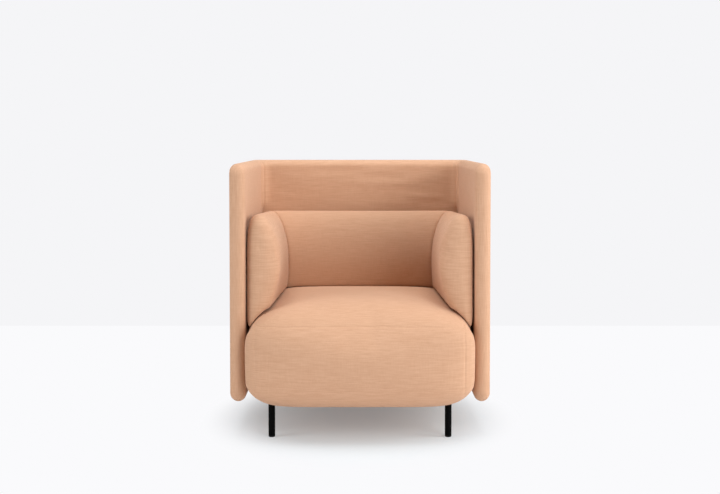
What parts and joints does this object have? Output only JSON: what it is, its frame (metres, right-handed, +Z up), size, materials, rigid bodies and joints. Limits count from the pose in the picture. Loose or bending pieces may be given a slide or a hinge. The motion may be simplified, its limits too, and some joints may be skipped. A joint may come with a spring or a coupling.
{
  "type": "lounge chair",
  "caption": "Upholstered lounge chair with a rounded seat, a U of back and arm cushions and a tall padded shell, standing on slim steel legs.",
  "frame": {"origin": "on the floor, under the middle of the chair's outer box", "axes": "+Z up, the chair faces -Y, +X to the right of someone looking at its front"},
  "size_m": [0.85, 0.77, 0.895],
  "materials": {
    "upholstery_fabric": "peach plain weave with fine slubs, matt",
    "foam": "pale cut foam",
    "plywood": "sanded plywood",
    "beech": "planed beech",
    "webbing": "black elastic webbing",
    "dust_cloth": "black spun cloth",
    "black_steel": "black powder coat, satin",
    "black_plastic": "moulded black plastic",
    "zinc_steel": "bright zinc plated steel"
  },
  "bodies": {
    "chair": {"back_cushion_board": "plywood", "back_cushion_cover": "upholstery_fabric", "back_cushion_foam": "foam", "back_panel_core": "plywood", "back_panel_cover": "upholstery_fabric", "back_panel_padding": "foam", "corner_bolts": "zinc_steel", "corner_inserts": "zinc_steel", "corner_spacers": "beech", "crosswise_webbing": "webbing", "cushion_bolt_nuts": "zinc_steel", "cushion_bolts": "zinc_steel", "cushion_spacers": "beech", "dust_cover": "dust_cloth", "frame_dowels": "beech", "front_left_corner_block": "beech", "front_left_leg": "black_steel", "front_rail": "beech", "front_right_corner_block": "beech", "front_right_leg": "black_steel", "left_arm_board": "plywood", "left_arm_cover": "upholstery_fabric", "left_arm_foam": "foam", "left_panel_core": "plywood", "left_panel_cover": "upholstery_fabric", "left_panel_padding": "foam", "left_rail": "beech", "leg_inserts": "zinc_steel", "lengthwise_webbing": "webbing", "rear_left_corner_block": "beech", "rear_left_leg": "black_steel", "rear_rail": "beech", "rear_right_corner_block": "beech", "rear_right_leg": "black_steel", "right_arm_board": "plywood", "right_arm_cover": "upholstery_fabric", "right_arm_foam": "foam", "right_panel_core": "plywood", "right_panel_cover": "upholstery_fabric", "right_panel_padding": "foam", "right_rail": "beech", "seat_bolt_nuts": "zinc_steel", "seat_bolts": "zinc_steel", "seat_cover": "upholstery_fabric", "seat_foam": "foam", "seat_spacers": "beech"},
    "front_left_foot_body": {"front_left_foot": "black_plastic"},
    "front_right_foot_body": {"front_right_foot": "black_plastic"},
    "rear_left_foot_body": {"rear_left_foot": "black_plastic"},
    "rear_right_foot_body": {"rear_right_foot": "black_plastic"}
  },
  "joints": [
    {"name": "front_left_foot_level", "type": "slide", "parent": "chair", "child": "front_left_foot_body", "axis": [0, 0, -1], "range_m": [0, 0.008]},
    {"name": "front_right_foot_level", "type": "slide", "parent": "chair", "child": "front_right_foot_body", "axis": [0, 0, -1], "range_m": [0, 0.008]},
    {"name": "rear_left_foot_level", "type": "slide", "parent": "chair", "child": "rear_left_foot_body", "axis": [0, 0, -1], "range_m": [0, 0.008]},
    {"name": "rear_right_foot_level", "type": "slide", "parent": "chair", "child": "rear_right_foot_body", "axis": [0, 0, -1], "range_m": [0, 0.008]}
  ]
}
